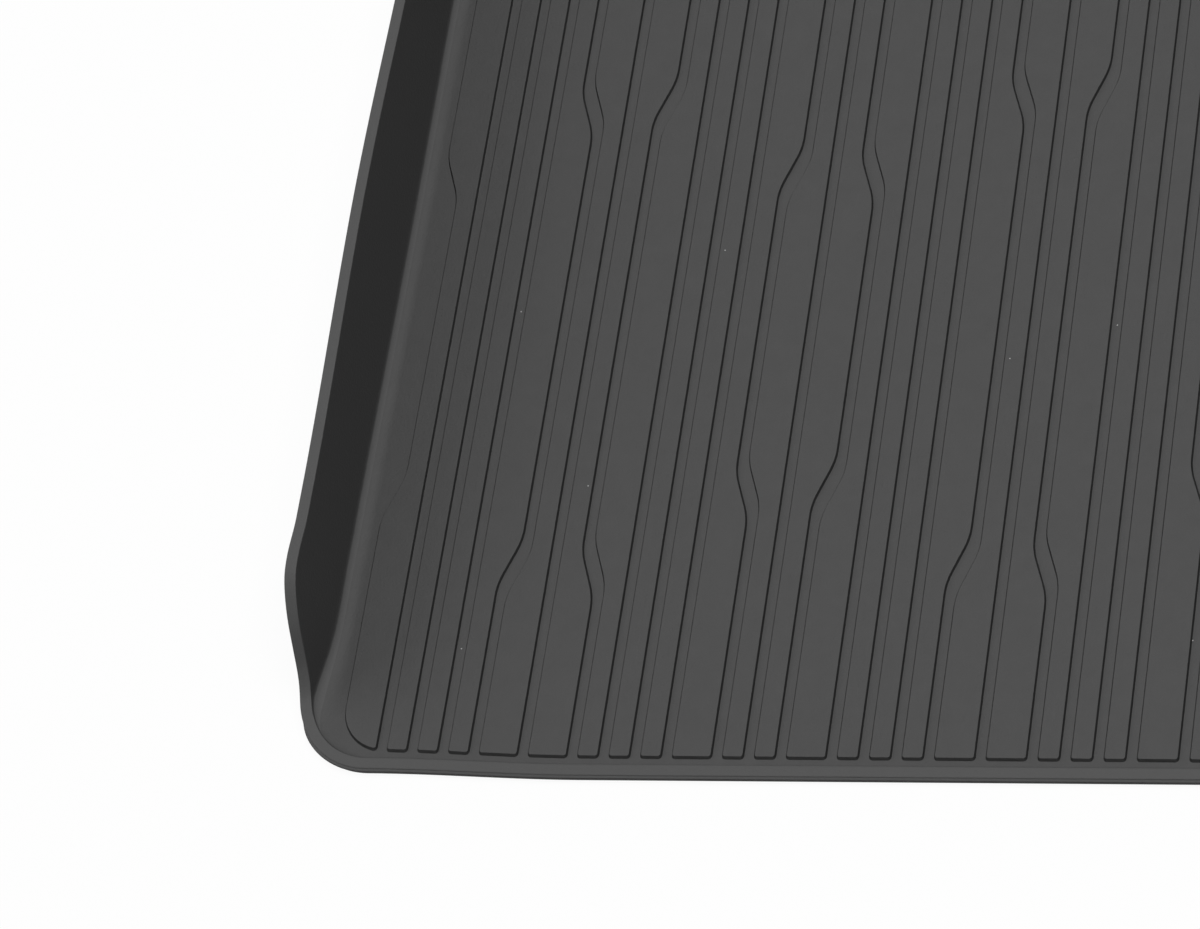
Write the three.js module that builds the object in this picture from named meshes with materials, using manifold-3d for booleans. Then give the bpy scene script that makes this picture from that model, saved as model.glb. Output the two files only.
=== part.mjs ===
// Car boot liner: one moulded tray of soft black plastic, with a wall round three sides, a low lip
// along the loading edge and a floor of raised plates that run from front to back.
//
// Millimetres, +Z up. X runs across the boot, Y from the loading edge (front) to the back.
// The origin is on the underside, in the middle of the tray.

import * as THREE from 'three';
import { mergeVertices } from 'three/addons/utils/BufferGeometryUtils.js';
import Module from 'manifold-3d';

// Tray
const trayWidth = 1111.2;
const trayDepth = 676;
const floorThickness = 2.2;
const cornerRadius = 27;

// Wall, rim and lip. Heights are over the ground that the tray lies on.
const wallHeight = 40;
const lipHeight = 4;
const rimWidth = 4.2;
const rimChamfer = 0.5;
const wallDraftDegrees = 5;
const coveRadius = 6;

// The side walls drop to the lip near the front corners. From the front, the rim first rises in a
// gentle flare round the corner, and then steeply to the wall's height. Each bend between these
// straight stretches is rounded over a distance on both sides of it.
const flareFromFront = 13;
const flareDegrees = 13;
const flareRounding = 5;
const dropFromFront = 30.2;
const dropLength = 20.1;
const dropFootRounding = 5;
const dropTopRounding = 8.8;

// Just behind the drop the rim has a small crest, and further back it rises in a long low swell.
const crestRise = 1.6;
const crestFromFront = 63.7;
const crestReach = 15.6;
const swellRise = 4.3;
const swellFromFront = 212;
const swellReach = 122;

// The front edge steps back a little towards its corners.
const cornerSetback = 1.95;
const setbackLength = 75;

// Raised plates and the channels between them, measured at the plates' top faces
const plateHeight = 1.4;
const plateDraftDegrees = 20;
const narrowPlate = 6.74;
const widePlate = 13.14;
const channelWidth = 4.29;
const plateCornerRadius = 1.2;
const edgePlateCornerRadius = 16;

// Flat floor that is left round the plates
const frontGutter = 1.9;
const rearGutter = 6;
const leastSideGutter = 2;

// Some channels swerve sideways for a stretch. Places along Y are counted from the plates' front ends.
const firstStretchMiddle = 166.2;
const stretchPitch = 315.5;
const longStretch = 188.4;
const shortStretch = 127.1;
const turnAngleDegrees = 20;
const turnRadius = 25;
const turnLead = 5;

// The plates' order outwards from the middle of the tray, and the channels outside a plate that
// swerve: towards the middle (-1) or away from it (1)
const plateOrder = [
  widePlate, narrowPlate, narrowPlate, narrowPlate, widePlate, narrowPlate,
  narrowPlate, widePlate, narrowPlate, narrowPlate, narrowPlate, widePlate,
];
const swerves = new Map([
  [0, { stretch: longStretch, side: -1 }],
  [4, { stretch: shortStretch, side: -1 }],
  [6, { stretch: shortStretch, side: 1 }],
  [10, { stretch: longStretch, side: 1 }],
]);

// Fineness of the facets
const cornerSteps = 8;
const dropSteps = 7;
const crestSteps = 2;
const swellSteps = 8;
const setbackSteps = 5;
const coveSteps = 4;
const edgeArcSteps = 5;
const bendSteps = 2;

const radians = THREE.MathUtils.degToRad;
const smoothstep = THREE.MathUtils.smoothstep;

const halfWidth = trayWidth / 2;
const frontY = -trayDepth / 2;
const rearY = trayDepth / 2;
const cornerX = halfWidth - cornerRadius;
const wallSlope = Math.tan(radians(wallDraftDegrees));
const flareSlope = Math.tan(radians(flareDegrees));
const plateSlope = Math.tan(radians(plateDraftDegrees));
const plateRun = plateHeight * plateSlope;

// Front edge of the tray at a place across it
function frontEdge(x) {
  const setbackStart = cornerX - setbackLength;
  return frontY + cornerSetback * smoothstep(Math.abs(x), setbackStart, cornerX);
}

// Rounded rise that is 1 at a place and fades out on both sides of it
function bump(y, middle, reach) {
  return 1 - smoothstep(Math.abs(y - middle), 0, reach);
}

// Ramp that is 0 before a place and rises with slope 1 behind it, with a parabola between
function ramp(y, place, rounding) {
  const t = THREE.MathUtils.clamp(y - place, -rounding, rounding);
  return (t + rounding) ** 2 / (4 * rounding) + Math.max(y - place - rounding, 0);
}

// Height of the rim at a place along the depth
function rimHeight(y) {
  const fromFront = y - frontY;
  const dropHeight = wallHeight - lipHeight - flareSlope * (dropFromFront - flareFromFront);
  const dropSlope = dropHeight / dropLength;
  const dropTop = dropFromFront + dropLength;
  const flare = flareSlope * ramp(fromFront, flareFromFront, flareRounding);
  const foot = (dropSlope - flareSlope) * ramp(fromFront, dropFromFront, dropFootRounding);
  const top = dropSlope * ramp(fromFront, dropTop, dropTopRounding);
  const crest = crestRise * bump(fromFront, crestFromFront, crestReach);
  const swell = swellRise * bump(fromFront, swellFromFront, swellReach);
  return lipHeight + flare + foot - top + crest + swell;
}

// Distance in from the outer face to the foot of a round cove under a rim of some height
function coveFoot(height) {
  const shoulder = height - rimChamfer;
  const radius = Math.min(coveRadius, shoulder - floorThickness);
  return rimWidth + (shoulder - floorThickness - radius) * wallSlope + radius;
}

// Section of the tray's edge as [distance in from the outer face, height]: up the outer face,
// over the rim, down the drafted inner face and round the cove to its foot on the floor. Where
// the rim is low the cove is a flat ellipse, so its foot stays in line along the wall.
function edgeSection(height, foot) {
  const shoulder = height - rimChamfer;
  const coveHeight = Math.min(coveRadius, shoulder - floorThickness);
  const coveWidth = foot - rimWidth - (shoulder - floorThickness - coveHeight) * wallSlope;
  const section = [
    [0, 0],
    [0, shoulder],
    [rimChamfer, height],
    [rimWidth - rimChamfer, height],
    [rimWidth, shoulder],
  ];
  for (let i = 0; i <= coveSteps; i++) {
    const angle = (Math.PI / 2) * (i / coveSteps);
    section.push([
      foot - coveWidth * Math.cos(angle),
      floorThickness + coveHeight * (1 - Math.sin(angle)),
    ]);
  }
  return section;
}

const lipFoot = coveFoot(lipHeight);
const wallFoot = coveFoot(wallHeight);

// Right half of the tray's outline, from the middle of the front to the middle of the rear.
// Each station is a place on the outer face, its inward direction and where its cove ends.
function outlineStations() {
  const stations = [{ x: 0, y: frontY, inX: 0, inY: 1, foot: lipFoot }];
  for (let i = 0; i < setbackSteps; i++) {
    const x = cornerX - setbackLength * (1 - i / setbackSteps);
    stations.push({ x, y: frontEdge(x), inX: 0, inY: 1, foot: lipFoot });
  }
  const frontCornerY = frontEdge(cornerX) + cornerRadius;
  const rearCornerY = rearY - cornerRadius;
  for (let i = 0; i <= cornerSteps; i++) {
    const turned = i / cornerSteps;
    const foot = THREE.MathUtils.lerp(lipFoot, wallFoot, smoothstep(turned, 0, 1));
    stations.push(cornerStation(frontCornerY, (turned - 1) * (Math.PI / 2), foot));
  }
  for (const y of sideStops(frontCornerY)) {
    stations.push({ x: halfWidth, y, inX: -1, inY: 0, foot: wallFoot });
  }
  for (let i = 0; i <= cornerSteps; i++) {
    const turned = i / cornerSteps;
    stations.push(cornerStation(rearCornerY, turned * (Math.PI / 2), wallFoot));
  }
  stations.push({ x: 0, y: rearY, inX: 0, inY: -1, foot: wallFoot });
  return stations;
}

// Places along a side wall that its rim's fall, crest and swell need
function sideStops(cornerY) {
  const dropTop = frontY + dropFromFront + dropLength + dropTopRounding;
  const crestEnd = frontY + crestFromFront + crestReach;
  const swellEnd = frontY + swellFromFront + swellReach;
  const stretch = (from, to, steps) =>
    Array.from({ length: steps }, (_, i) => from + (to - from) * ((i + 1) / steps));
  return [
    ...stretch(cornerY, dropTop, dropSteps),
    ...stretch(dropTop, crestEnd, crestSteps),
    ...stretch(crestEnd, swellEnd, swellSteps),
  ];
}

function cornerStation(centreY, angle, foot) {
  const outX = Math.cos(angle);
  const outY = Math.sin(angle);
  return {
    x: cornerX + cornerRadius * outX,
    y: centreY + cornerRadius * outY,
    inX: -outX,
    inY: -outY,
    foot,
  };
}

// Closed solid through a stack of rings with equal numbers of points, capped at both ends.
// The rings run counter-clockwise seen from above, and the first one is the lowest.
function loft(rings) {
  const count = rings[0].length;
  const index = [];
  for (let ring = 0; ring + 1 < rings.length; ring++) {
    for (let i = 0; i < count; i++) {
      const a = ring * count + i;
      const b = ring * count + ((i + 1) % count);
      index.push(a, b, b + count, a, b + count, a + count);
    }
  }
  for (const [a, b, c] of capFaces(rings[0])) {
    index.push(a, c, b);
  }
  const top = (rings.length - 1) * count;
  for (const [a, b, c] of capFaces(rings.at(-1))) {
    index.push(top + a, top + b, top + c);
  }
  const geometry = new THREE.BufferGeometry();
  geometry.setAttribute('position', new THREE.Float32BufferAttribute(rings.flat(2), 3));
  geometry.setIndex(index);
  return geometry;
}

function capFaces(ring) {
  const contour = ring.map(([x, y]) => new THREE.Vector2(x, y));
  return THREE.ShapeUtils.triangulateShape(contour, []);
}

// The tray without its plates: every station's section, taken point by point as rings
function trayGeometry() {
  const right = outlineStations();
  const left = right.slice(1, -1).reverse();
  const mirrored = left.map((s) => ({ ...s, x: -s.x, inX: -s.inX }));
  const stations = [...right, ...mirrored];
  const sections = stations.map((s) => edgeSection(rimHeight(s.y), s.foot));
  const rings = sections[0].map((_, level) =>
    stations.map((s, i) => {
      const [inward, height] = sections[i][level];
      return [s.x + s.inX * inward, s.y + s.inY * inward, height];
    }),
  );
  return loft(rings);
}

// Distances from the tray's front and rear to the plates' ends, and the Y of those ends
const frontInset = lipFoot + frontGutter + plateRun;
const rearInset = wallFoot + rearGutter + plateRun;
const plateFrontY = frontY + frontInset;
const plateRearY = rearY - rearInset;

function plateFront(x) {
  return frontEdge(x) + frontInset;
}

// A turn of a channel is a straight slant with both bends rounded. It takes a channel sideways
// by the step between a wide and a narrow plate.
const turnAngle = radians(turnAngleDegrees);
const turnStep = widePlate - narrowPlate;
const halfSlant = turnStep / Math.tan(turnAngle) / 2;
const bendRadius = Math.min(turnRadius, halfSlant / Math.tan(turnAngle / 2));
const halfTurn = halfSlant + bendRadius * Math.tan(turnAngle / 2);

// Middles of the stretches in which channels run to one side. The last one ends clear of the
// outermost plate's rear corner.
function stretchMiddles() {
  const halfStretch = longStretch / 2 + turnLead / 2 + halfTurn;
  const lastMiddle = plateRearY - edgePlateCornerRadius - halfStretch;
  const middles = [];
  let middle = plateFrontY + firstStretchMiddle;
  while (middle < lastMiddle) {
    middles.push(middle);
    middle += stretchPitch;
  }
  return middles;
}

// One turn of a channel's side from x0 to x1 round the place y: an arc, a slant and an arc back
function turnPoints(x0, x1, y) {
  const side = Math.sign(x1 - x0);
  const bend = Array.from({ length: bendSteps + 1 }, (_, i) => {
    const angle = turnAngle * (i / bendSteps);
    return [side * bendRadius * (1 - Math.cos(angle)), bendRadius * Math.sin(angle)];
  });
  return [
    ...bend.map(([across, along]) => [x0 + across, y - halfTurn + along]),
    ...bend.reverse().map(([across, along]) => [x1 - across, y + halfTurn - along]),
  ];
}

// One side of a channel from front to back, without its ends. edge is -1 for the channel's
// side next to the middle of the tray and 1 for its outer side. The side towards which the
// channel swerves turns earlier and comes back later.
function channelSide(centre, swerve, edge) {
  if (!swerve) {
    return [];
  }
  const x = centre + (edge * channelWidth) / 2;
  const shifted = x + swerve.side * turnStep;
  const reach = (swerve.stretch + swerve.side * edge * turnLead) / 2;
  return stretchMiddles().flatMap((middle) => [
    ...turnPoints(x, shifted, middle - reach),
    ...turnPoints(shifted, x, middle + reach),
  ]);
}

// Plates of the right half, outwards from the middle. Each is given by the channels on its
// inner and outer side: their centre at the front and how they swerve.
function plateRow() {
  const limit = halfWidth - wallFoot - leastSideGutter - plateRun;
  const plates = [];
  let inner = { centre: 0, swerve: undefined };
  for (let i = 0; ; i++) {
    const place = i % plateOrder.length;
    const centre = inner.centre + plateOrder[place] + channelWidth;
    const outer = { centre, swerve: swerves.get(place) };
    if (centre - channelWidth / 2 > limit) {
      return plates;
    }
    plates.push({ inner, outer });
    inner = outer;
  }
}

// Rounded corner of a plate's end. toX and toY point from the corner into the plate.
function smallCorner(x, y, toX, toY) {
  const radius = plateCornerRadius;
  const bulge = 1 - Math.SQRT1_2;
  return [
    [x + toX * radius, y],
    [x + toX * radius * bulge, y + toY * radius * bulge],
    [x, y + toY * radius],
  ];
}

// End of the outermost plate: a large arc on its outer side and a small corner on its inner
// side, from the outer side inwards. toY points from the end into the plate.
function edgePlateEnd(innerX, outerX, endY, toY) {
  const radius = edgePlateCornerRadius;
  const centreX = outerX - radius;
  const reach = THREE.MathUtils.clamp((innerX + plateCornerRadius - centreX) / radius, 0, 1);
  const lastAngle = Math.acos(reach);
  const points = [];
  for (let i = 0; i <= edgeArcSteps; i++) {
    const angle = lastAngle * (i / edgeArcSteps);
    points.push([
      centreX + radius * Math.cos(angle),
      endY + toY * radius * (1 - Math.sin(angle)),
    ]);
  }
  const cornerY = points.at(-1)[1];
  const corner = smallCorner(innerX, cornerY, 1, toY);
  return [...points, ...corner.slice(1)];
}

// Outline of a plate's top face on the right half, counter-clockwise
function plateOutline(plate, isEdge) {
  const innerX = plate.inner.centre + channelWidth / 2;
  const outerX = plate.outer.centre - channelWidth / 2;
  const innerSide = channelSide(plate.inner.centre, plate.inner.swerve, 1);
  const outerSide = channelSide(plate.outer.centre, plate.outer.swerve, -1);
  if (isEdge) {
    const front = edgePlateEnd(innerX, outerX, plateFront(outerX), 1);
    const rear = edgePlateEnd(innerX, outerX, plateRearY, -1);
    return [...front.reverse(), ...outerSide, ...rear, ...innerSide.reverse()];
  }
  return [
    ...smallCorner(innerX, plateFront(innerX), 1, 1).reverse(),
    ...smallCorner(outerX, plateFront(outerX), -1, 1),
    ...outerSide,
    ...smallCorner(outerX, plateRearY, -1, -1).reverse(),
    ...smallCorner(innerX, plateRearY, 1, -1),
    ...innerSide.reverse(),
  ];
}

// Outline moved outwards by a distance, with mitred corners
function offsetOutline(outline, distance) {
  const count = outline.length;
  return outline.map(([x, y], i) => {
    const [beforeX, beforeY] = outline[(i + count - 1) % count];
    const [afterX, afterY] = outline[(i + 1) % count];
    const into = new THREE.Vector2(x - beforeX, y - beforeY).normalize();
    const out = new THREE.Vector2(afterX - x, afterY - y).normalize();
    const normalIn = new THREE.Vector2(into.y, -into.x);
    const normalOut = new THREE.Vector2(out.y, -out.x);
    const mitre = normalIn.clone().add(normalOut);
    mitre.multiplyScalar(distance / mitre.dot(normalIn));
    return [x + mitre.x, y + mitre.y];
  });
}

// A plate stands on the floor with drafted sides. Its root reaches half-way into the floor.
function plateGeometry(outline) {
  const rootZ = floorThickness / 2;
  const topZ = floorThickness + plateHeight;
  const root = offsetOutline(outline, (topZ - rootZ) * plateSlope);
  return loft([
    root.map(([x, y]) => [x, y, rootZ]),
    outline.map(([x, y]) => [x, y, topZ]),
  ]);
}

function mirrorOutline(outline) {
  return outline.map(([x, y]) => [-x, y]).reverse();
}

const wasm = await Module();
wasm.setup();

function toSolid(geometry) {
  geometry.deleteAttribute('normal');
  geometry.deleteAttribute('uv');
  const merged = mergeVertices(geometry);
  return new wasm.Manifold(new wasm.Mesh({
    numProp: 3,
    vertProperties: new Float32Array(merged.attributes.position.array),
    triVerts: new Uint32Array(merged.index.array),
  }));
}

function toGeometry(solid) {
  const { vertProperties, triVerts } = solid.getMesh();
  const geometry = new THREE.BufferGeometry();
  geometry.setAttribute('position', new THREE.Float32BufferAttribute(vertProperties, 3));
  geometry.setIndex([...triVerts]);
  geometry.computeVertexNormals();
  return geometry;
}

function linerSolid() {
  const plates = plateRow();
  let solid = toSolid(trayGeometry());
  plates.forEach((plate, i) => {
    const outline = plateOutline(plate, i === plates.length - 1);
    solid = solid.add(toSolid(plateGeometry(outline)));
    solid = solid.add(toSolid(plateGeometry(mirrorOutline(outline))));
  });
  return solid;
}

// Matt black moulded elastomer
const elastomer = new THREE.MeshStandardMaterial({
  color: 0x4c4c4d,
  roughness: 0.72,
  metalness: 0,
});

const liner = new THREE.Mesh(toGeometry(linerSolid()), elastomer);
liner.name = 'boot_liner';

const bootLiner = new THREE.Group();
bootLiner.add(liner);

export default bootLiner;
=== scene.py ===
"""Car boot liner: one tray moulded in black thermoplastic elastomer. It has a wall round three
sides, a low lip along the loading edge and a floor of raised plates with channels between them.

Metres, +Z up. X runs across the boot, and Y from the loading edge, the front, to the back. The
origin is on the underside in the middle of the tray.
"""

import math

import bpy
import numpy as np
from bpy.props import FloatProperty, FloatVectorProperty, IntProperty, PointerProperty
from bpy.types import Operator, Panel, PropertyGroup
from mathutils import Matrix, Vector


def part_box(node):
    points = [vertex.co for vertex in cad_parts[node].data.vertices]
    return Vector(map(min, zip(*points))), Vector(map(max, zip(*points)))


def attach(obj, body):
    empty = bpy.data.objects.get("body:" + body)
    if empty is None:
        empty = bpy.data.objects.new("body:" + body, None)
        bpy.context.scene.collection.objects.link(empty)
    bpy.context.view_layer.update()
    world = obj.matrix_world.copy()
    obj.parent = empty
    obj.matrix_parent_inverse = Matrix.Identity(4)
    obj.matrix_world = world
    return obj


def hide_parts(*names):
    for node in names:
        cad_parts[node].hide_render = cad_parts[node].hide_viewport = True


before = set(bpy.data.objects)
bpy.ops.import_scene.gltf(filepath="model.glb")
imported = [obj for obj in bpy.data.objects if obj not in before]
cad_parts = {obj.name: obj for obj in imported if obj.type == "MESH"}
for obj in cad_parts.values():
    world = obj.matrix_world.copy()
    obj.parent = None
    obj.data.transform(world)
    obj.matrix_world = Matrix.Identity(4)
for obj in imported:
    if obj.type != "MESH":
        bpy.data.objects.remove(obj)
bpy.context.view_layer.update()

bl_info = {
    "name": "Car Boot Liner",
    "version": (1, 0, 0),
    "blender": (4, 5, 0),
    "location": "View3D > Sidebar > Boot Liner",
    "description": "Builds a moulded car boot liner and the studio it lies in",
    "category": "Object",
}

MM = 0.001
NODE = "boot_liner"
TRAY_LOW, TRAY_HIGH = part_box(NODE)
HALF_WIDTH = TRAY_HIGH.x
FRONT_Y = TRAY_LOW.y
REAR_Y = TRAY_HIGH.y

# Distances between the mesh's stations along the tray's outline, finer where its height changes
STRAIGHT_PITCH = 20 * MM
SETBACK_PITCH = 5 * MM
DROP_PITCH = 1.5 * MM
CREST_PITCH = 3 * MM
SWELL_PITCH = 8 * MM
REAR_PITCH = 30 * MM

# Steps of the mesh round the tray's front and rear corners, its small edges, the rim's two edges,
# the cove, and the foot and the top of a plate's side
FRONT_CORNER_STEPS = 24
REAR_CORNER_STEPS = 16
EDGE_STEPS = 3
RIM_STEPS = 4
COVE_STEPS = 14
PLATE_FOOT_STEPS = 2
PLATE_TOP_STEPS = 3

# Points nearer than this are one
WELD_DISTANCE = 0.001 * MM

# Rows of the mesh keep this far from the ends of a plate's side, and from the tray's corners
ROW_CLEARANCE = 0.5 * MM
STATION_CLEARANCE = 1 * MM

# Steep faces count as the plates' up to this far over the plates' top; flat faces above it take the
# painted highlight
PLATE_MARGIN = 0.1 * MM

# Z of a face's direction up to which it is steep and takes the painted shade, and from which it is
# flat. The sides of the plates lean back further than the wall, so they are taken as steeper by an
# allowance.
STEEP_RISE = 0.42
FLAT_RISE = 0.6
PLATE_ALLOWANCE = 0.2

ELASTOMER_IOR = 1.5

# Width of the picture that the focal length is for, and how far the camera sees, in metres
PICTURE_WIDTH = 36 * MM
VIEW_END = 50

# The studio floor lies this far under the tray, so that the two share no plane
FLOOR_GAP = 0.05 * MM


def length(name, description, millimetres):
    """A length property of the panel, in metres."""
    return FloatProperty(
        name=name,
        description=description,
        default=millimetres * MM,
        min=0.0,
        precision=5,
        unit="LENGTH",
    )


def angle(name, description, degrees):
    """An angle property of the panel, kept in radians."""
    return FloatProperty(
        name=name, description=description, default=math.radians(degrees), unit="ROTATION"
    )


def share(name, description, default):
    """A property of the panel that goes from 0 to 1."""
    return FloatProperty(
        name=name, description=description, default=default, min=0.0, max=1.0, subtype="FACTOR"
    )


def linear(hex_colour):
    """Linear red, green, blue and alpha of an sRGB colour written as RRGGBB."""
    parts = [int(hex_colour[i : i + 2], 16) / 255 for i in (0, 2, 4)]
    return (*(c / 12.92 if c <= 0.04045 else ((c + 0.055) / 1.055) ** 2.4 for c in parts), 1.0)


def tint(name, description, hex_colour):
    """A colour property of the panel, kept as linear red, green, blue and alpha."""
    return FloatVectorProperty(
        name=name,
        description=description,
        default=linear(hex_colour),
        size=4,
        min=0.0,
        max=1.0,
        subtype="COLOR",
    )


WHITE = linear("FFFFFF")


class TraySizes(PropertyGroup):
    """Sizes of the tray: its floor, wall, rim and lip."""

    floor_thickness: length("Floor", "Thickness of the floor", 2.2)
    corner_radius: length("Corner radius", "Radius of the outer face at each corner", 27)
    wall_height: length("Wall height", "Height of the side and rear walls", 40)
    lip_height: length("Lip height", "Height of the lip along the loading edge", 4)
    rim_width: length("Rim width", "Width of the flat top of the wall and the lip", 4.2)
    rim_rounding: length("Rim rounding", "Radius of the rim's two edges", 0.5)
    wall_draft: angle("Wall draft", "Lean of the wall's inner face", 5)
    cove_width: length("Cove width", "Width of the round cove between wall and floor", 6.4)
    cove_rise: length("Cove rise", "Height of the round cove between wall and floor", 4.6)
    flare_start: length("Flare start", "Where the rim starts to rise, from the front", 13)
    flare_angle: angle("Flare", "Gentle rise of the rim round the front corner", 13)
    flare_rounding: length("Flare rounding", "Reach of the bend where the flare starts", 5)
    drop_start: length("Drop start", "Where the rim gets steep, from the front", 30.2)
    drop_length: length("Drop length", "Length over which the rim rises steeply", 20.1)
    drop_foot_rounding: length("Drop foot", "Reach of the bend at the drop's foot", 5)
    drop_top_rounding: length("Drop top", "Reach of the bend at the drop's top", 8.8)
    crest_rise: length("Crest rise", "Rise of the rim just behind the drop", 1.6)
    crest_place: length("Crest place", "Distance of the crest from the front", 63.7)
    crest_reach: length("Crest reach", "Distance over which the crest fades out", 15.6)
    swell_rise: length("Swell rise", "Rise of the rim's long swell", 4.3)
    swell_place: length("Swell place", "Distance of the swell from the front", 212)
    swell_reach: length("Swell reach", "Distance over which the swell fades out", 122)
    corner_setback: length("Corner setback", "Step back of the front at its corners", 1.95)
    setback_length: length("Setback length", "Length over which the front steps back", 75)
    flange_width: length("Flange width", "Width of the flange outside the lip", 0.85)
    flange_drop: length("Flange drop", "Step from the lip's top down to the flange", 0.75)
    flange_thickness: length("Flange thickness", "Thickness of the flange", 0.9)
    flange_end: length("Flange end", "Height of the rim at which the flange has gone", 6.5)
    foot_rounding: length("Foot rounding", "Radius of the outer face's lower edge", 0.35)


class PlateSizes(PropertyGroup):
    """Sizes of the raised plates and of the channels between them, at the plates' top faces."""

    height: length("Height", "Height of the plates over the floor", 1.0)
    draft: angle("Draft", "Lean of the plates' sides", 27)
    narrow: length("Narrow plate", "Width of a narrow plate", 6.74)
    wide: length("Wide plate", "Width of a wide plate", 13.14)
    channel: length("Channel", "Width of a channel between two plates", 4.29)
    end_lean: FloatProperty(
        name="End lean",
        description="Lean of the plates' ends, over that of their sides",
        default=1.7,
        min=1.0,
    )
    corner_radius: length("Corner radius", "Radius of a plate's corners", 0.75)
    edge_corner_radius: length("Edge plate radius", "Radius on the outermost plates", 16)
    top_rounding: length("Top rounding", "Radius of the plates' upper edges", 0.2)
    foot_rounding: length("Foot rounding", "Radius between a plate's side and the floor", 0.12)
    front_gutter: length("Front gutter", "Flat floor between the plates and the lip", 1.9)
    rear_gutter: length("Rear gutter", "Flat floor between the plates and the rear wall", 5.6)
    side_gutter: length("Side gutter", "Least flat floor beside the plates", 1.6)
    first_stretch: length("First stretch", "Middle of the first swerved stretch", 166.2)
    stretch_pitch: length("Stretch pitch", "Distance between swerved stretches", 315.5)
    long_stretch: length("Long stretch", "Length of the long swerved stretches", 188.4)
    short_stretch: length("Short stretch", "Length of the short swerved stretches", 127.1)
    turn_angle: angle("Turn angle", "Slant of a channel where it swerves", 20)
    turn_radius: length("Turn radius", "Radius of a channel's bends", 25)
    turn_lead: length("Turn lead", "How far one side of a channel turns ahead", 5)
    row_pitch: length("Row pitch", "Distance between rows of the mesh along a plate", 32)
    bend_rows: IntProperty(
        name="Bend rows", description="Rows of the mesh in each bend", default=5, min=1
    )
    corner_steps: IntProperty(
        name="Corner steps", description="Steps of the mesh in a small corner", default=4, min=1
    )
    edge_corner_steps: IntProperty(
        name="Edge corner steps", description="Steps in an edge plate's arc", default=16, min=1
    )


class FinishSettings(PropertyGroup):
    """Colours and finish of the elastomer."""

    dark_patch: tint("Dark patches", "Colour of the darker patches of the floor", "424242")
    pale_patch: tint("Pale patches", "Colour of the paler patches of the floor", "484848")
    # Painted highlight: the rim, the lip and the upper cove are coloured paler where light falls on
    # them
    painted_highlight: tint("Painted highlight", "Colour of the rim, the lip and the upper cove", "4D4D4D")
    # Painted shade: the wall's steep faces and, darker still, the plates' sides are coloured darker
    painted_wall_shade: tint("Wall", "Colour of the steep faces of the wall", "343434")
    painted_plate_shade: tint("Plate sides", "Colour of the sides of the plates", "141414")
    dust: tint("Dust", "Colour of the specks of dust", "A6A6A6")
    mottle: length("Mottle", "Size of the faint patches in the colour", 6)
    grain: length("Grain", "Size of the moulded grain", 0.9)
    grain_depth: length("Grain depth", "Depth of the moulded grain", 0.12)
    speck_pitch: length("Speck pitch", "Size of the cells that may hold a speck of dust", 36)
    speck_radius: length("Speck radius", "Radius of a speck of dust", 0.25)
    speck_share: share("Speck share", "Share of the cells that hold a speck", 0.08)
    roughness: share("Roughness", "Roughness of the surface", 0.6)
    sheen: share("Sheen", "Level of the mirrored light", 0.25)


class StageSettings(PropertyGroup):
    """Camera and floor."""

    camera_place: FloatVectorProperty(
        name="Camera",
        description="Place of the camera",
        default=(0.146, -1.1946, 1.6786),
        unit="LENGTH",
    )
    camera_yaw: angle("Yaw", "Turn of the view to the left of straight back", 31.95)
    camera_pitch: angle("Pitch", "Angle of the view below the horizon", 55.5)
    camera_roll: angle("Roll", "Turn of the picture about the view", -27.72)
    camera_lens: length("Lens", "Focal length for a 36 mm wide picture", 177.07)
    floor_size: length("Floor size", "Side of the floor", 12000)
    floor_colour: tint("Floor colour", "Colour of the studio paper", "F2F2F2")
    floor_glow: share("Floor glow", "Share of the floor's look that is plain white", 0.95)


# The plates outwards from the middle of the tray, 1 for a wide one and 0 for a narrow one, and the
# channels that swerve, by the place in that order of the plate on their inner side: how long their
# swerved stretches are, and whether they move towards the middle (-1) or away from it (1)
WIDE_PLATES = (1, 0, 0, 0, 1, 0, 0, 1, 0, 0, 0, 1)
SWERVES = {0: ("long", -1), 4: ("short", -1), 6: ("short", 1), 10: ("long", 1)}


def smooth(value, start, end):
    """Smooth step: 0 before start and 1 after end, and 3 t squared minus 2 t cubed between them."""
    t = np.clip((np.asarray(value, float) - start) / (end - start), 0, 1)
    return t * t * (3 - 2 * t)


def bump(value, middle, reach):
    """Rounded rise that is 1 at the middle and fades out by a smooth step on both sides."""
    return 1 - smooth(np.abs(value - middle), 0, reach)


def spaced(start, end, pitch):
    """Evenly spaced places from start to end, both included, about a pitch apart."""
    return np.linspace(start, end, max(2, int(round(abs(end - start) / pitch)) + 1))


def front_edge(x, tray):
    """Y of the tray's front: straight, and a smooth step back before each corner."""
    corner_x = HALF_WIDTH - tray.corner_radius
    start = corner_x - tray.setback_length
    return FRONT_Y + tray.corner_setback * smooth(np.abs(x), start, corner_x)


def ramp(value, place, rounding):
    """Ramp that is 0 before a place and rises with slope 1 behind it, with a parabola between."""
    near = np.clip(value - place, -rounding, rounding)
    return (near + rounding) ** 2 / (4 * rounding) + np.maximum(value - place - rounding, 0)


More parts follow.
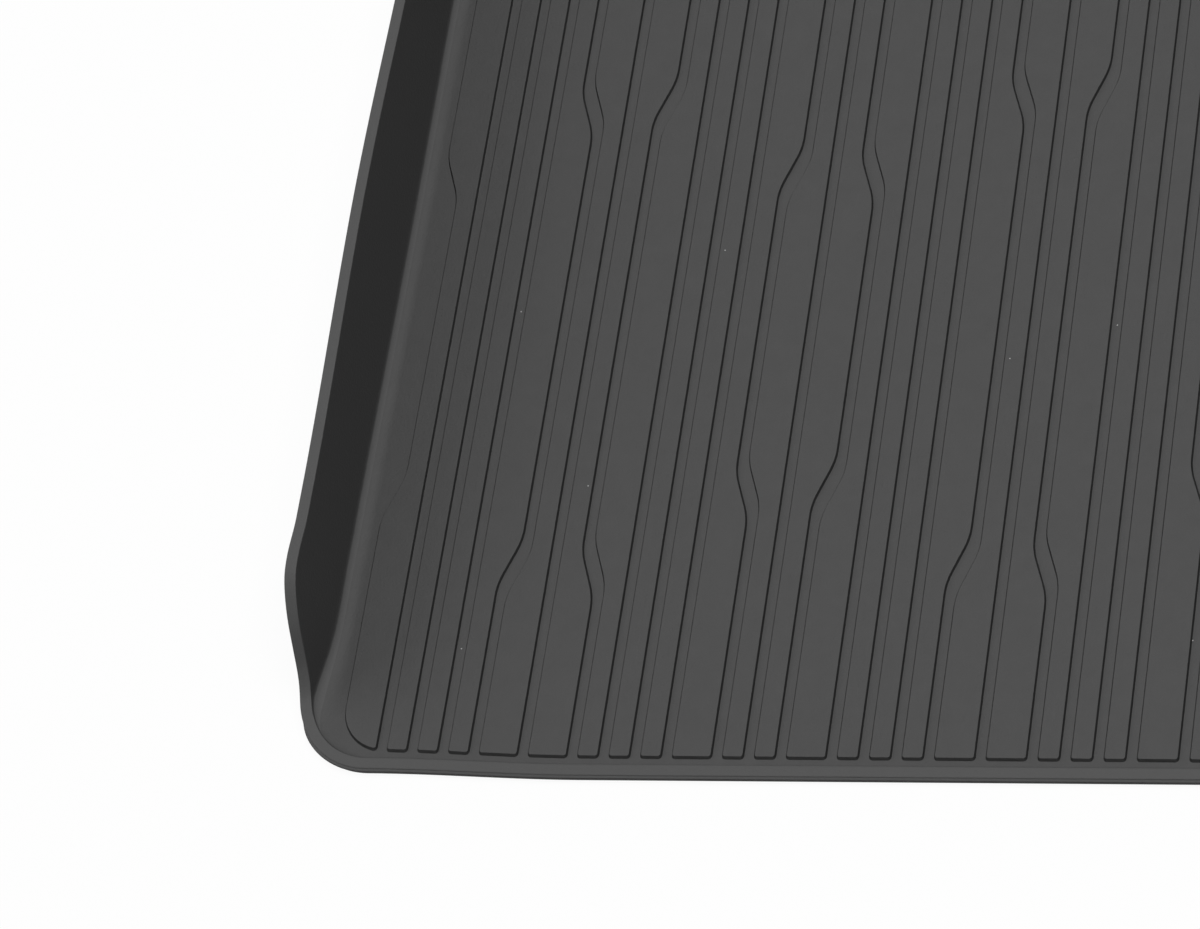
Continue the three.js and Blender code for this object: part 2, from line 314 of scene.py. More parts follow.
def rim_height(y, tray):
    """Height of the rim: the lip's height, a gentle flare, a steep rise up to the wall's height
    with rounded bends at its foot and its top, a crest and a swell."""
    along = y - FRONT_Y
    flare_slope = math.tan(tray.flare_angle)
    flare_height = flare_slope * (tray.drop_start - tray.flare_start)
    drop_slope = (tray.wall_height - tray.lip_height - flare_height) / tray.drop_length
    drop_top = tray.drop_start + tray.drop_length
    flare = flare_slope * ramp(along, tray.flare_start, tray.flare_rounding)
    foot = (drop_slope - flare_slope) * ramp(along, tray.drop_start, tray.drop_foot_rounding)
    top = drop_slope * ramp(along, drop_top, tray.drop_top_rounding)
    crest = tray.crest_rise * bump(along, tray.crest_place, tray.crest_reach)
    swell = tray.swell_rise * bump(along, tray.swell_place, tray.swell_reach)
    return tray.lip_height + flare + foot - top + crest + swell


def cove_foot(height, tray):
    """Distance in from the outer face to the foot of a round cove under a rim of some height:
    the rim, the drafted face's lean and the cove's width, which is its height at a low lip."""
    shoulder = height - tray.rim_rounding - tray.floor_thickness
    lean = (shoulder - min(tray.cove_rise, shoulder)) * math.tan(tray.wall_draft)
    return tray.rim_width + lean + min(tray.cove_width, shoulder)


def quarter(steps):
    """Sines and cosines over a quarter turn."""
    turn = np.linspace(0, math.pi / 2, steps + 1)
    return np.sin(turn), np.cos(turn)


def edge_section(height, foot, tray):
    """Section of the tray's edge at many stations at once, as [distance in from the outer face,
    height]: round the lower edge, up, out along a slanting underside and round a thin flange, whose
    edges are rounded by a third of its width and which fades out where the rim gets higher, over
    the rim with two rounded edges, down the drafted inner face and round the cove, a quarter of an
    ellipse, to its foot on the floor."""
    ones = np.ones_like(height)
    sin, cos = quarter(RIM_STEPS)
    fine_sin, fine_cos = quarter(EDGE_STEPS)
    cove_sin, cove_cos = quarter(COVE_STEPS)
    low = tray.foot_rounding
    flange = tray.flange_width * (1 - smooth(height, tray.lip_height, tray.flange_end))
    flange_top = tray.lip_height - tray.flange_drop
    flange_foot = flange_top - tray.flange_thickness
    turn = flange / 3
    rim = tray.rim_rounding
    shoulder = height - rim
    cove_height = np.minimum(tray.cove_rise, shoulder - tray.floor_thickness)
    face_height = shoulder - tray.floor_thickness - cove_height
    cove_width = foot - tray.rim_width - face_height * math.tan(tray.wall_draft)
    levels = [
        *((low * (1 - s) * ones, low * (1 - c) * ones) for s, c in zip(fine_sin, fine_cos)),
        (0 * ones, (flange_foot - tray.flange_width / 2) * ones),
        *(
            (turn * (1 - s) - flange, flange_foot + turn * (1 - c))
            for s, c in zip(fine_sin, fine_cos)
        ),
        *(
            (turn * (1 - c) - flange, flange_top - turn * (1 - s))
            for s, c in zip(fine_sin, fine_cos)
        ),
        *((rim * (1 - c) * ones, shoulder + rim * s) for s, c in zip(sin, cos)),
        *((tray.rim_width - rim * (1 - s), shoulder + rim * c) for s, c in zip(sin, cos)),
        *(
            (foot - cove_width * c, tray.floor_thickness + cove_height * (1 - s))
            for s, c in zip(cove_sin, cove_cos)
        ),
    ]
    return np.array([[inward * ones, up * ones] for inward, up in levels])


def tray_outline(tray, plate_rows):
    """Right half of the tray's outline from the middle of the front round to the middle of the
    rear, with the rows of the outermost plate's outer side. Returns the points on the outer face,
    their inward directions and the distance in to the cove's foot, which grows from the lip's to
    the wall's round the front corner."""
    lip_foot = cove_foot(tray.lip_height, tray)
    wall_foot = cove_foot(tray.wall_height, tray)
    radius = tray.corner_radius
    corner_x = HALF_WIDTH - radius
    front_corner_y = float(front_edge(corner_x, tray)) + radius
    rear_corner_y = REAR_Y - radius
    front_x = np.concatenate([
        spaced(0, corner_x - tray.setback_length, STRAIGHT_PITCH),
        spaced(corner_x - tray.setback_length, corner_x, SETBACK_PITCH)[1:-1],
    ])
    front_turn = np.linspace(-math.pi / 2, 0, FRONT_CORNER_STEPS + 1)
    rear_turn = np.linspace(0, math.pi / 2, REAR_CORNER_STEPS + 1)
    drop_end = FRONT_Y + tray.drop_start + tray.drop_length + tray.drop_top_rounding
    crest_end = FRONT_Y + tray.crest_place + tray.crest_reach
    swell_end = FRONT_Y + tray.swell_place + tray.swell_reach
    side_y = np.concatenate([
        spaced(front_corner_y, drop_end, DROP_PITCH)[1:-1],
        spaced(drop_end, crest_end, CREST_PITCH)[:-1],
        spaced(crest_end, swell_end, SWELL_PITCH)[:-1],
        spaced(swell_end, rear_corner_y, STRAIGHT_PITCH)[:-1],
        plate_rows[
            (plate_rows > front_corner_y + STATION_CLEARANCE)
            & (plate_rows < rear_corner_y - STATION_CLEARANCE)
        ],
    ])
    side_y = np.unique(np.round(side_y / MM, 3)) * MM
    rear_x = spaced(corner_x, 0, REAR_PITCH)[1:]
    x = np.concatenate([
        front_x,
        corner_x + radius * np.cos(front_turn),
        np.full(len(side_y), HALF_WIDTH),
        corner_x + radius * np.cos(rear_turn),
        rear_x,
    ])
    y = np.concatenate([
        front_edge(front_x, tray),
        front_corner_y + radius * np.sin(front_turn),
        side_y,
        rear_corner_y + radius * np.sin(rear_turn),
        np.full(len(rear_x), REAR_Y),
    ])
    facing = np.concatenate([
        np.full(len(front_x), -math.pi / 2),
        front_turn,
        np.zeros(len(side_y)),
        rear_turn,
        np.full(len(rear_x), math.pi / 2),
    ])
    turned = smooth(facing, -math.pi / 2, 0)
    foot = lip_foot + (wall_foot - lip_foot) * turned
    inward = -np.stack([np.cos(facing), np.sin(facing)], 1)
    return np.stack([x, y], 1), inward, foot


def turn_share(y, plates):
    """Sideways share, from 0 to 1, of a channel's turn about y = 0: half a circle's bend, a
    straight slant and half a bend back. Returns it with its slope along y."""
    step = plates.wide - plates.narrow
    tangent = plates.turn_radius * math.tan(plates.turn_angle / 2)
    half_slant = step / math.tan(plates.turn_angle) / 2
    straight = half_slant - tangent * math.cos(plates.turn_angle)
    away = np.abs(y)
    left = np.clip(half_slant + tangent - away, 0, None)
    depth = np.sqrt(np.maximum(plates.turn_radius**2 - left**2, WELD_DISTANCE**2))
    side = np.where(
        away < straight,
        away * math.tan(plates.turn_angle),
        step / 2 - (plates.turn_radius - depth) * (left > 0),
    )
    slope = np.where(away < straight, math.tan(plates.turn_angle), left / depth)
    return 0.5 + np.sign(y) * side / step, slope / step


def turn_rows(plates):
    """Places along Y, about a turn's middle, that its two bends need."""
    tangent = plates.turn_radius * math.tan(plates.turn_angle / 2)
    half_slant = (plates.wide - plates.narrow) / math.tan(plates.turn_angle) / 2
    bend = np.linspace(
        half_slant - tangent * math.cos(plates.turn_angle),
        half_slant + tangent,
        plates.bend_rows + 1,
    )
    return np.concatenate([-bend[::-1], bend])


def stretch_middles(tray, plates):
    """Middles of the stretches in which channels run to one side. The last one ends clear of the
    outermost plate's rear corner."""
    front, rear = plate_ends(tray, plates)
    reach = turn_rows(plates)[-1] + (plates.long_stretch + plates.turn_lead) / 2
    last = rear - plates.edge_corner_radius - reach
    return np.arange(front + plates.first_stretch, last, plates.stretch_pitch)


def plate_ends(tray, plates):
    """Y of the plates' front and rear ends in the middle of the tray."""
    run = plates.height * math.tan(plates.draft)
    front = FRONT_Y + cove_foot(tray.lip_height, tray) + plates.front_gutter + run
    rear = REAR_Y - cove_foot(tray.wall_height, tray) - plates.rear_gutter - run
    return front, rear


def stretch_length(swerve, plates):
    """Length of a channel's swerved stretches."""
    return {"long": plates.long_stretch, "short": plates.short_stretch}[swerve[0]]


def turn_reach(swerve, edge, plates):
    """Distance from a stretch's middle to its turns. The side towards which the channel swerves
    turns earlier and comes back later."""
    return (stretch_length(swerve, plates) + swerve[1] * edge * plates.turn_lead) / 2


def channel_side(y, centre, swerve, edge, middles, plates):
    """X of one side of a channel, and its slope, at places along Y: half the channel's width from
    its centre, plus the step of each turn into and out of a swerved stretch."""
    x = np.full(len(y), centre + edge * plates.channel / 2)
    slope = np.zeros(len(y))
    if swerve is None:
        return x, slope
    reach = turn_reach(swerve, edge, plates)
    step = swerve[1] * (plates.wide - plates.narrow)
    for middle in middles:
        for place, sign in ((middle - reach, 1), (middle + reach, -1)):
            share, share_slope = turn_share(y - place, plates)
            x += sign * step * share
            slope += sign * step * share_slope
    return x, slope


def side_rows(low, high, swerve, edge, other_swerve, middles, plates):
    """Places along Y of the rows of a plate's side: dense ones in the bends of its own channel,
    the starts, middles and ends of the turns on the plate's other side, and evenly spaced ones
    where none of these is near."""
    turns = []
    if swerve is not None:
        reach = turn_reach(swerve, edge, plates)
        turns.append(np.add.outer(middles, [-reach, reach]).ravel()[:, None] + turn_rows(plates))
    if other_swerve is not None:
        reach = turn_reach(other_swerve, 0, plates)
        marks = turn_rows(plates)[-1] * np.array([-1, 0, 1])
        turns.append(np.add.outer(middles, [-reach, reach]).ravel()[:, None] + marks)
    bends = np.concatenate([t.ravel() for t in turns]) if turns else np.zeros(0)
    even = spaced(low, high, plates.row_pitch)[1:-1]
    if len(bends):
        gap = np.abs(np.subtract.outer(even, bends)).min(axis=1)
        even = even[gap > plates.row_pitch / 3]
    inside = np.concatenate([bends, even])
    inside = inside[(inside > low + ROW_CLEARANCE) & (inside < high - ROW_CLEARANCE)]
    return np.unique(np.round(np.concatenate([[low], inside, [high]]) / MM, 3)) * MM


def arc(centre_x, centre_y, radius, start, end, steps):
    """Points of a circular arc, with their outward directions."""
    turn = np.linspace(start, end, steps + 1)
    out = np.stack([np.cos(turn), np.sin(turn)], 1)
    return np.array([centre_x, centre_y]) + radius * out, out


def end_arcs(inner_x, outer_x, plates, is_edge):
    """Corner arcs of a plate's end, where the end's line is y = 0 and the plate lies at y > 0:
    those of its inner side and those of its outer side, both from the end outwards. The outermost
    plate has one large arc, which a small one on its inner side meets without a kink."""
    small, large = plates.corner_radius, plates.edge_corner_radius
    steps = plates.corner_steps
    down, left, right = -math.pi / 2, -math.pi, 0.0
    if not is_edge:
        inner = [arc(inner_x + small, small, small, down, left, steps)]
        outer = [arc(outer_x - small, small, small, down, right, steps)]
        return inner, outer
    across = inner_x + small - (outer_x - large)
    along = math.sqrt((large - small) ** 2 - across**2)
    meet = -math.atan2(along, across)
    low = (inner_x + small, large - along, small)
    inner = [arc(*low, down, left, steps)]
    outer = [
        arc(*low, down, meet, steps),
        arc(outer_x - large, large, large, meet, right, plates.edge_corner_steps),
    ]
    return inner, outer


def plate_chain(side, channel, other_swerve, arcs, ends, middles, plates):
    """One long side of a plate from its front end to its rear end: the front corner's arcs, the
    channel's side with its swerves, and the arcs again, mirrored. side is -1 for the side next to
    the middle of the tray and 1 for the outer one. Returns points and outward directions."""
    centre, swerve = channel
    front_y, rear_y = ends
    corner = np.concatenate([points for points, _ in arcs])
    corner_out = np.concatenate([out for _, out in arcs])
    front = corner + [0, front_y]
    rear = (corner * [1, -1] + [0, rear_y])[::-1]
    y = side_rows(front[-1, 1], rear[0, 1], swerve, -side, other_swerve, middles, plates)
    x, slope = channel_side(y, centre, swerve, -side, middles, plates)
    out = np.stack([np.full(len(y), float(side)), -side * slope], 1)
    out /= np.linalg.norm(out, axis=1, keepdims=True)
    points = np.concatenate([front, np.stack([x, y], 1)[1:-1], rear])
    return points, np.concatenate([corner_out, out[1:-1], (corner_out * [1, -1])[::-1]])


def channel_row(tray, plates):
    """Channels of the right half from the middle one outwards, each as its centre at the front
    and how it swerves. A plate lies between each two neighbours."""
    run = plates.height * math.tan(plates.draft)
    limit = HALF_WIDTH - cove_foot(tray.wall_height, tray) - plates.side_gutter - run
    channels = [(0.0, None)]
    while True:
        order = (len(channels) - 1) % len(WIDE_PLATES)
        width = plates.wide if WIDE_PLATES[order] else plates.narrow
        centre = channels[-1][0] + width + plates.channel
        if centre - plates.channel / 2 > limit:
            return channels
        channels.append((centre, SWERVES.get(order)))


def plate_profile(plates):
    """Section of a plate's side as [distance out from its top edge's line, height over the
    floor], from the floor up: a small arc at the foot, the drafted face, and a small arc into the
    flat top. An arc between two faces that turn by an angle starts its radius times the tangent
    of half that angle before the corner."""
    lean = plates.draft
    turn = math.pi / 2 - lean
    run = plates.height * math.tan(lean)
    foot = np.linspace(0, turn, PLATE_FOOT_STEPS + 1)
    top = np.linspace(turn, 0, PLATE_TOP_STEPS + 1)
    foot_start = run + plates.foot_rounding * math.tan(turn / 2)
    top_end = -plates.top_rounding * math.tan(turn / 2)
    foot_arc = np.stack([
        foot_start - plates.foot_rounding * np.sin(foot),
        plates.foot_rounding * (1 - np.cos(foot)),
    ], 1)
    top_arc = np.stack([
        top_end + plates.top_rounding * np.sin(top),
        plates.height - plates.top_rounding * (1 - np.cos(top)),
    ], 1)
    return np.concatenate([foot_arc, top_arc])


class Surface:
    """A growing set of points and of triangles between them."""

    def __init__(self):
        self.points = []
        self.triangles = []
        self.count = 0

    def add_points(self, points):
        """Adds an array of points and returns their numbers in the array's shape."""
        numbers = self.count + np.arange(points[..., 0].size).reshape(points.shape[:-1])
        self.points.append(points.reshape(-1, 3))
        self.count += numbers.size
        return numbers

    def add_grid(self, numbers):
        """Two triangles for each cell of a grid of points. They face the side from which the way
        to the next row is on the left of the way to the next column."""
        a, b = numbers[:-1, :-1].ravel(), numbers[:-1, 1:].ravel()
        c, d = numbers[1:, 1:].ravel(), numbers[1:, :-1].ravel()
        self.triangles += [np.stack([a, b, c], 1), np.stack([a, c, d], 1)]

    def add_strip(self, left, right, left_keys, right_keys):
        """Closes the strip between two chains of points. Each next point, in the order of the
        keys along both chains, makes a triangle with the last point of either chain."""
        keys = np.concatenate([left_keys[1:], right_keys[1:]])
        is_left = np.arange(len(keys)) < len(left) - 1
        is_left = is_left[np.argsort(keys, kind="stable")]
        i = np.cumsum(is_left) - is_left
        j = np.cumsum(~is_left) - ~is_left
        ahead = np.where(
            is_left,
            left[np.minimum(i + 1, len(left) - 1)],
            right[np.minimum(j + 1, len(right) - 1)],
        )
        self.triangles.append(np.stack([left[i], right[j], ahead], 1))

    def add_mirror_image(self):
        """Adds the mirror image in X of all that is there, turned so that it faces outwards."""
        points = np.concatenate(self.points)
        triangles = np.concatenate(self.triangles)
        self.points = [points, points * [-1, 1, 1]]
        self.triangles = [triangles, triangles[:, ::-1] + len(points)]

    def welded(self):
        """Points that lie within a thousandth of a millimetre of each other are made one, and
        triangles that this leaves without an area are dropped."""
        points = np.concatenate(self.points)
        triangles = np.concatenate(self.triangles)
        grid = np.round(points / WELD_DISTANCE).astype(np.int64)
        _, first, number = np.unique(grid, axis=0, return_index=True, return_inverse=True)
        triangles = number.reshape(-1)[triangles]
        a, b, c = triangles.T
        triangles = triangles[(a != b) & (b != c) & (c != a)]
        return points[first], triangles


def rising(values):
    """Keys for a strip: the values with any fall between them levelled out."""
    return np.maximum.accumulate(values)


def add_tray_edge(surface, tray, plate_rows):
    """The edge's section carried along the right half of the outline, and the flat underside as
    a fan from the middle. Returns the numbers of the points on the cove's foot."""
    outline, inward, foot = tray_outline(tray, plate_rows)
    section = edge_section(rim_height(outline[:, 1], tray), foot, tray)
    levels = outline + section[:, 0, :, None] * inward
    numbers = surface.add_points(np.concatenate([levels, section[:, 1, :, None]], 2))
    surface.add_grid(numbers)
    middle = surface.add_points(np.zeros((1, 3)))[0]
    under = numbers[0]
    fan = np.stack([np.full(len(under) - 1, middle), under[1:], under[:-1]], 1)
    surface.triangles.append(fan)
    return numbers[-1]


def add_plate(surface, chains, profile, end_lean, floor):
    """A plate's profile carried along its two long sides and across its ends, and its flat top.
    The profile's reach grows by the square of how far its outward direction points along Y, from
    1 on the long sides to the ends' lean. Returns the numbers and the places of the points of
    both sides."""
    numbers, places = [], []
    for points, out in chains:
        lean = 1 + (end_lean - 1) * out[:, 1:] ** 2
        flat = points + profile[:, 0, None, None] * out * lean
        height = np.broadcast_to(floor + profile[:, 1, None, None], (*flat.shape[:2], 1))
        places.append(np.concatenate([flat, height], 2))
        numbers.append(surface.add_points(places[-1]))
    inner, outer = numbers
    surface.add_grid(inner[::-1])
    surface.add_grid(outer)
    surface.add_grid(np.stack([inner[:, 0], outer[:, 0]], 1))
    surface.add_grid(np.stack([inner[:, -1], outer[:, -1]], 1)[::-1])
    surface.add_strip(inner[-1], outer[-1], *(rising(p[-1, :, 1]) for p in places))
    return numbers, places


def add_plates(surface, tray, plates):
    """All plates of the right half and the floors of the channels between them. Returns the
    numbers of the floor's inner border, from the middle of the front round the outermost plate
    to the middle of the rear, and the rows of that plate's outer side."""
    profile = plate_profile(plates)
    middles = stretch_middles(tray, plates)
    channels = channel_row(tray, plates)
    front_inset = plate_ends(tray, plates)[0] - FRONT_Y
    rear_y = plate_ends(tray, plates)[1]
    front_border, rear_border = [], []
    before, before_y = None, None
    for inner, outer in zip(channels, channels[1:]):
        sides_x = (inner[0] + plates.channel / 2, outer[0] - plates.channel / 2)
        is_edge = outer is channels[-1]
        arcs = end_arcs(*sides_x, plates, is_edge)
        swerves = (inner[1], outer[1])
        chains = []
        for side, channel, x, end, other in zip(
            (-1, 1), (inner, outer), sides_x, arcs, swerves[::-1]
        ):
            front_x = sides_x[1] if is_edge else x
            ends = (float(front_edge(front_x, tray)) + front_inset, rear_y)
            chains.append(plate_chain(side, channel, other, end, ends, middles, plates))
        numbers, places = add_plate(surface, chains, profile, plates.end_lean, tray.floor_thickness)
        if before is None:
            line = places[0][0] * [0, 1, 1]
            before, before_y = surface.add_points(line), rising(line[:, 1])
            front_border.append(before[:1])
            rear_border.append(before[-1:])
        surface.add_strip(before, numbers[0][0], before_y, rising(places[0][0, :, 1]))
        before, before_y = numbers[1][0], rising(places[1][0, :, 1])
        front_border.append(numbers[0][0, :1])
        rear_border.append(numbers[0][0, -1:])
        if not is_edge:
            front_border.append(before[:1])
            rear_border.append(before[-1:])
    return np.concatenate([*front_border, before, *rear_border[::-1]]), before_y


def liner_surface(tray, plates):
    """Right half of the liner: edge, plates, channels, and the gutter between the plates and the
    cove's foot, closed by the polar angle round the tray's middle. Its mirror image is added."""
    surface = Surface()
    border, plate_rows = add_plates(surface, tray, plates)
    foot = add_tray_edge(surface, tray, plate_rows)
    places = np.concatenate(surface.points)
    keys = [rising(np.arctan2(places[n, 1], places[n, 0])) for n in (border, foot)]
    surface.add_strip(border, foot, *keys)
    surface.add_mirror_image()
    return surface.welded()


def face_area_normals(points, triangles):
    """Each point's direction: the sum of its triangles' cross products, so that a large flat
    face keeps its own direction and a rounded edge runs smoothly into it."""
    a, b, c = (points[triangles[:, i]] for i in range(3))
    cross = np.cross(b - a, c - a)
    total = np.zeros_like(points)
    for corner in range(3):
        np.add.at(total, triangles[:, corner], cross)
    return total / np.linalg.norm(total, axis=1, keepdims=True)


def mesh_object(name, points, triangles):
    """A smooth mesh object at the origin from arrays of points and triangles."""
    mesh = bpy.data.meshes.new(name)
    mesh.vertices.add(len(points))
    mesh.vertices.foreach_set("co", points.astype(np.float32).ravel())
    mesh.loops.add(triangles.size)
    mesh.loops.foreach_set("vertex_index", triangles.astype(np.int32).ravel())
    mesh.polygons.add(len(triangles))
    mesh.polygons.foreach_set("loop_start", np.arange(0, triangles.size, 3, dtype=np.int32))
    mesh.polygons.foreach_set("use_smooth", np.ones(len(triangles), bool))
    mesh.update(calc_edges=True)
    mesh.normals_split_custom_set_from_vertices(face_area_normals(points, triangles))
    piece = bpy.data.objects.new(name, mesh)
    bpy.context.scene.collection.objects.link(piece)
    return piece


def add_node(tree, kind, inputs=None, **settings):
    """Adds a node to a tree, with its settings and with each named input set or linked."""
    node = tree.nodes.new(kind)
    for name, value in settings.items():
        setattr(node, name, value)
    for name, value in (inputs or {}).items():
        if isinstance(value, bpy.types.NodeSocket):
            tree.links.new(value, node.inputs[name])
        else:
            node.inputs[name].default_value = value
    return node


# Sockets of a Mix node for colours: its two colours and, of its outputs, the mixed one
MIX_A, MIX_B, MIXED = 6, 7, 2


def empty_material(name):
    """A material with a node tree that holds nothing yet."""
    material = bpy.data.materials.new(name)
    material.use_nodes = True
    material.node_tree.nodes.clear()
    return material


def moulded_elastomer(finish, plate_top):
    """Black thermoplastic elastomer, moulded against a fine spark-eroded tool: matt and very
    slightly mottled, with a fine even grain and a few specks of dust on the faces that lie flat.
    Steep faces are painted darker as shade, most of all the sides of the plates. The rim, the lip
    and the upper cove are painted a shade paler as a highlight. Such a grain is about 0.1 mm, too
    fine to show, so it is drawn as coarse as it needs to show."""
    material = empty_material("moulded_elastomer")
    tree = material.node_tree
    coordinates = add_node(tree, "ShaderNodeTexCoord").outputs
    place = coordinates["Object"]
    height = add_node(tree, "ShaderNodeSeparateXYZ", {"Vector": place}).outputs["Z"]
    low = add_node(
        tree, "ShaderNodeMath", {0: height, 1: plate_top}, operation="LESS_THAN"
    )
    facing = add_node(tree, "ShaderNodeSeparateXYZ", {"Vector": coordinates["Normal"]})
    upward = add_node(
        tree,
        "ShaderNodeMath",
        {0: low.outputs[0], 1: -PLATE_ALLOWANCE, 2: facing.outputs["Z"]},
        operation="MULTIPLY_ADD",
    )
    flat = add_node(
        tree,
        "ShaderNodeMapRange",
        {"Value": upward.outputs[0], "From Min": STEEP_RISE, "From Max": FLAT_RISE},
        interpolation_type="SMOOTHSTEP",
    )
    grain = add_node(
        tree,
        "ShaderNodeTexNoise",
        {"Vector": place, "Scale": 1 / finish.grain, "Detail": 2.0, "Roughness": 0.6},
    )
    mottle = add_node(
        tree,
        "ShaderNodeTexNoise",
        {"Vector": place, "Scale": 1 / finish.mottle, "Detail": 3.0, "Roughness": 0.55},
    )
    mottled = add_node(
        tree,
        "ShaderNodeMix",
        {"Factor": mottle.outputs["Fac"], MIX_A: finish.dark_patch, MIX_B: finish.pale_patch},
        data_type="RGBA",
    ).outputs[MIXED]
    # Faces above the plates take the painted highlight colour, the rest the mottled colour
    level = add_node(
        tree,
        "ShaderNodeMix",
        {"Factor": low.outputs[0], MIX_A: finish.painted_highlight, MIX_B: mottled},
        data_type="RGBA",
    ).outputs[MIXED]
    # Painted shade on steep faces: the wall's, and darker still the plates' sides
    steep = add_node(
        tree,
        "ShaderNodeMix",
        {"Factor": low.outputs[0], MIX_A: finish.painted_wall_shade, MIX_B: finish.painted_plate_shade},
        data_type="RGBA",
    ).outputs[MIXED]
    moulded = add_node(
        tree,
        "ShaderNodeMix",
        {"Factor": flat.outputs["Result"], MIX_A: steep, MIX_B: level},
        data_type="RGBA",
    ).outputs[MIXED]
    specks = add_node(
        tree,
        "ShaderNodeTexVoronoi",
        {"Vector": place, "Scale": 1 / finish.speck_pitch},
        voronoi_dimensions="2D",
    )
    near = add_node(
        tree,
        "ShaderNodeMath",
        {0: specks.outputs["Distance"], 1: finish.speck_radius / finish.speck_pitch},
        operation="LESS_THAN",
    )
    chance = add_node(tree, "ShaderNodeSeparateColor", {"Color": specks.outputs["Color"]})
    chosen = add_node(
        tree,
        "ShaderNodeMath",
        {0: chance.outputs["Red"], 1: finish.speck_share},
        operation="LESS_THAN",
    )
    dusty = near.outputs[0]
    for part in (chosen, flat):
        both = add_node(
            tree, "ShaderNodeMath", {0: dusty, 1: part.outputs[0]}, operation="MULTIPLY"
        )
        dusty = both.outputs[0]
    speckled = add_node(
        tree,
        "ShaderNodeMix",
        {"Factor": dusty, MIX_A: moulded, MIX_B: finish.dust},
        data_type="RGBA",
    ).outputs[MIXED]
    relief = add_node(
        tree,
        "ShaderNodeBump",
        {"Height": grain.outputs["Fac"], "Strength": 1.0, "Distance": finish.grain_depth},
    )
    shader = add_node(
        tree,
        "ShaderNodeBsdfPrincipled",
        {
            "Base Color": speckled,
            "Roughness": finish.roughness,
            "IOR": ELASTOMER_IOR,
            "Specular IOR Level": finish.sheen,
            "Normal": relief.outputs["Normal"],
        },
    )
    add_node(tree, "ShaderNodeOutputMaterial", {"Surface": shader.outputs["BSDF"]})
    return material


def seen_rays(tree):
    """1 for rays that see a thing: those of the camera, mirrored ones and those through glass.
    0 for rays that only gather light."""
    rays = add_node(tree, "ShaderNodeLightPath").outputs
    seen = rays["Is Camera Ray"]
    for kind in ("Is Glossy Ray", "Is Transmission Ray"):
        either = add_node(tree, "ShaderNodeMath", {0: seen, 1: rays[kind]}, operation="MAXIMUM")
        seen = either.outputs[0]
    return seen


def studio_paper(colour, glow):
    """White studio paper, matt. The camera and mirror rays see it as mostly plain white, over
    which its shaded colour still lays a soft shadow round the tray."""
    material = empty_material("white_studio_paper")
    tree = material.node_tree
    glowing = add_node(
        tree, "ShaderNodeMath", {0: seen_rays(tree), 1: glow}, operation="MULTIPLY"
    )
    matt = add_node(tree, "ShaderNodeBsdfDiffuse", {"Color": colour})
    white = add_node(tree, "ShaderNodeEmission", {"Color": WHITE, "Strength": 1.0})
    paper = add_node(
        tree,
        "ShaderNodeMixShader",
        {0: glowing.outputs[0], 1: matt.outputs[0], 2: white.outputs[0]},
    )
    add_node(tree, "ShaderNodeOutputMaterial", {"Surface": paper.outputs[0]})
    return material


def white_world():
    """A world that is white where it is seen and lights nothing."""
    world = bpy.data.worlds.new("white_studio")
    world.use_nodes = True
    tree = world.node_tree
    tree.nodes.clear()
    backdrop = add_node(
        tree, "ShaderNodeBackground", {"Color": WHITE, "Strength": seen_rays(tree)}
    )
    add_node(tree, "ShaderNodeOutputWorld", {"Surface": backdrop.outputs[0]})
    bpy.context.scene.world = world


# Softboxes, each as its name, place, the point that it is aimed at, width, depth and power
SOFTBOXES = (
    ("softbox_overhead", (1.2, 0, 4.4), (0, 0, 0), 2.6, 2.6, 190),
    ("softbox_left", (-2.2, 0, 1.1), (0, 0, 0), 2.4, 1.2, 14),
    ("softbox_front", (0, -2.6, 1.1), (0, 0, 0), 3.0, 1.0, 2),
)


def add_softbox(name, place, aim, width, depth, power):
    """A rectangular area light at a place, turned towards the point that it is aimed at."""
    lamp = bpy.data.lights.new(name, "AREA")
    lamp.shape = "RECTANGLE"
    lamp.size = width
    lamp.size_y = depth
    lamp.energy = power
    softbox = bpy.data.objects.new(name, lamp)
    softbox.location = place
    direction = Vector(aim) - Vector(place)
    softbox.rotation_euler = direction.to_track_quat("-Z", "Y").to_euler()
    bpy.context.scene.collection.objects.link(softbox)


def add_camera(stage):
    """The camera: its view turns left by the yaw and down by the pitch, then rolls about it."""
    yaw, pitch, roll = stage.camera_yaw, stage.camera_pitch, stage.camera_roll
    ahead = Vector((
        -math.sin(yaw) * math.cos(pitch),
        math.cos(yaw) * math.cos(pitch),
        -math.sin(pitch),
    ))
    level = Vector((math.cos(yaw), math.sin(yaw), 0))
    above = level.cross(ahead)
    right = level * math.cos(roll) + above * math.sin(roll)
    up = above * math.cos(roll) - level * math.sin(roll)
    camera = bpy.data.objects.new("camera", bpy.data.cameras.new("camera"))
    camera.data.sensor_width = PICTURE_WIDTH / MM
    camera.data.lens = stage.camera_lens / MM
    camera.data.clip_end = VIEW_END
    axes = Matrix((right, up, -ahead)).transposed().to_4x4()
    camera.matrix_world = Matrix.Translation(stage.camera_place) @ axes
    bpy.context.scene.collection.objects.link(camera)
    bpy.context.scene.camera = camera


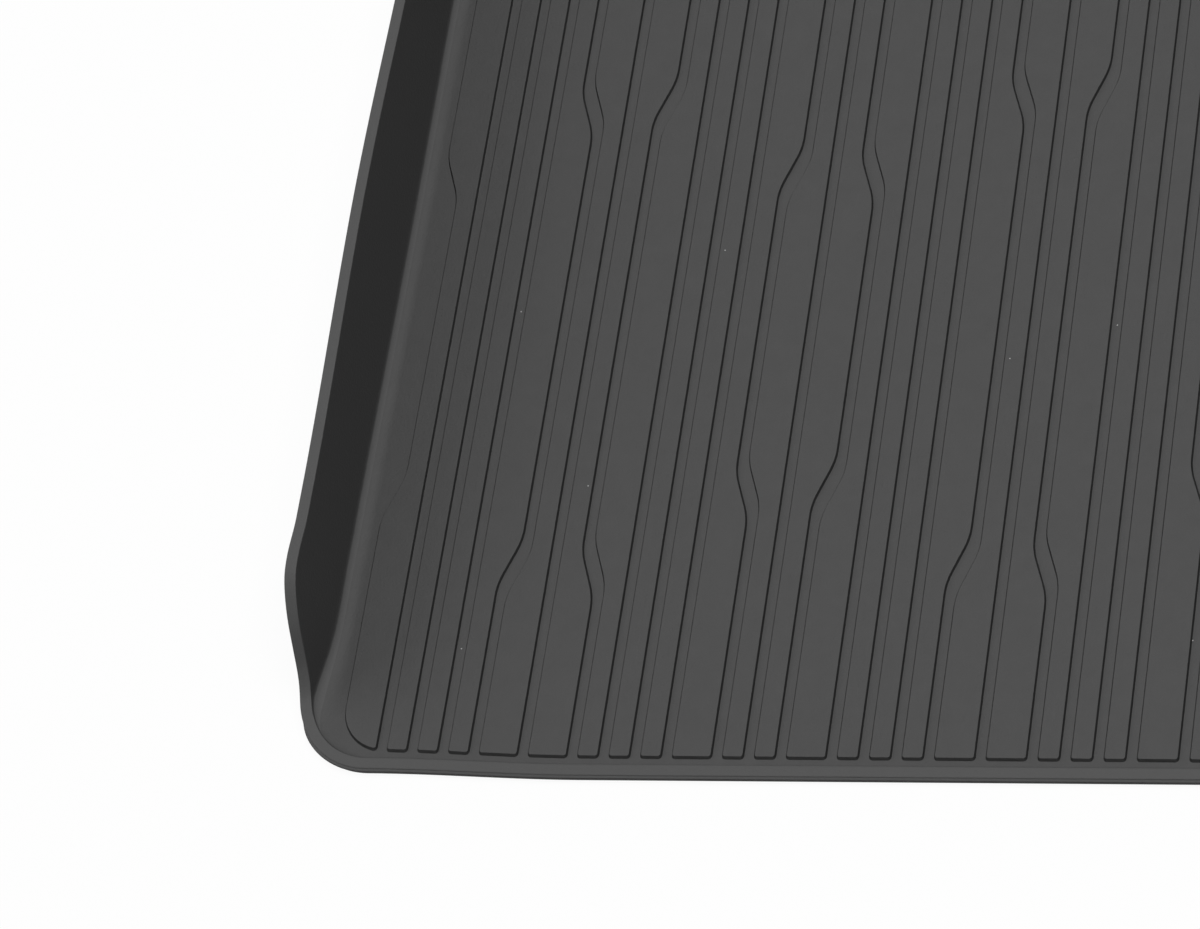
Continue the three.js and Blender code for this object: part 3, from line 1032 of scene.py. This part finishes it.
class LINER_OT_tray(Operator):
    """Build the moulded tray with its wall, lip and plates"""

    bl_idname = "liner.tray"
    bl_label = "Build Tray"

    def execute(self, context):
        scene = context.scene
        sizes, plates = scene.tray_sizes, scene.plate_sizes
        plate_top = sizes.floor_thickness + plates.height + PLATE_MARGIN
        tray = mesh_object("liner_tray", *liner_surface(sizes, plates))
        tray.data.materials.append(moulded_elastomer(scene.finish_settings, plate_top))
        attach(tray, "root")
        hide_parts(NODE)
        return {"FINISHED"}


class LINER_OT_stage(Operator):
    """Set up the pale floor, the soft studio light and the camera"""

    bl_idname = "liner.stage"
    bl_label = "Set Up Stage"

    def execute(self, context):
        stage = context.scene.stage_settings
        context.scene.view_settings.view_transform = "Standard"
        half = stage.floor_size / 2
        corners = np.full((4, 3), TRAY_LOW.z - FLOOR_GAP)
        corners[:, :2] = np.array([[-1, -1], [1, -1], [1, 1], [-1, 1]]) * half
        floor = mesh_object("studio_floor", corners, np.array([[0, 1, 2], [0, 2, 3]]))
        floor.data.materials.append(studio_paper(stage.floor_colour, stage.floor_glow))
        white_world()
        for softbox in SOFTBOXES:
            add_softbox(*softbox)
        add_camera(stage)
        return {"FINISHED"}


class LINER_PT_panel(Panel):
    """Sizes, finish and stage of the boot liner"""

    bl_idname = "LINER_PT_panel"
    bl_label = "Boot Liner"
    bl_space_type = "VIEW_3D"
    bl_region_type = "UI"
    bl_category = "Boot Liner"

    def draw(self, context):
        for key, group in SETTINGS.items():
            settings = getattr(context.scene, key)
            box = self.layout.box()
            box.label(text=group.__doc__)
            for name in group.__annotations__:
                box.prop(settings, name)
        for operator in OPERATORS:
            self.layout.operator(operator.bl_idname)


SETTINGS = {
    "tray_sizes": TraySizes,
    "plate_sizes": PlateSizes,
    "finish_settings": FinishSettings,
    "stage_settings": StageSettings,
}
OPERATORS = (LINER_OT_tray, LINER_OT_stage)


def register():
    """Registers the classes and gives each scene its settings."""
    for item in (*SETTINGS.values(), *OPERATORS, LINER_PT_panel):
        bpy.utils.register_class(item)
    for key, group in SETTINGS.items():
        setattr(bpy.types.Scene, key, PointerProperty(type=group))


def unregister():
    """Undoes what register did."""
    for key in SETTINGS:
        delattr(bpy.types.Scene, key)
    for item in (LINER_PT_panel, *OPERATORS, *SETTINGS.values()):
        bpy.utils.unregister_class(item)


def main():
    """Builds the tray and its stage."""
    register()
    bpy.ops.liner.tray()
    bpy.ops.liner.stage()


if __name__ == "__main__":
    main()
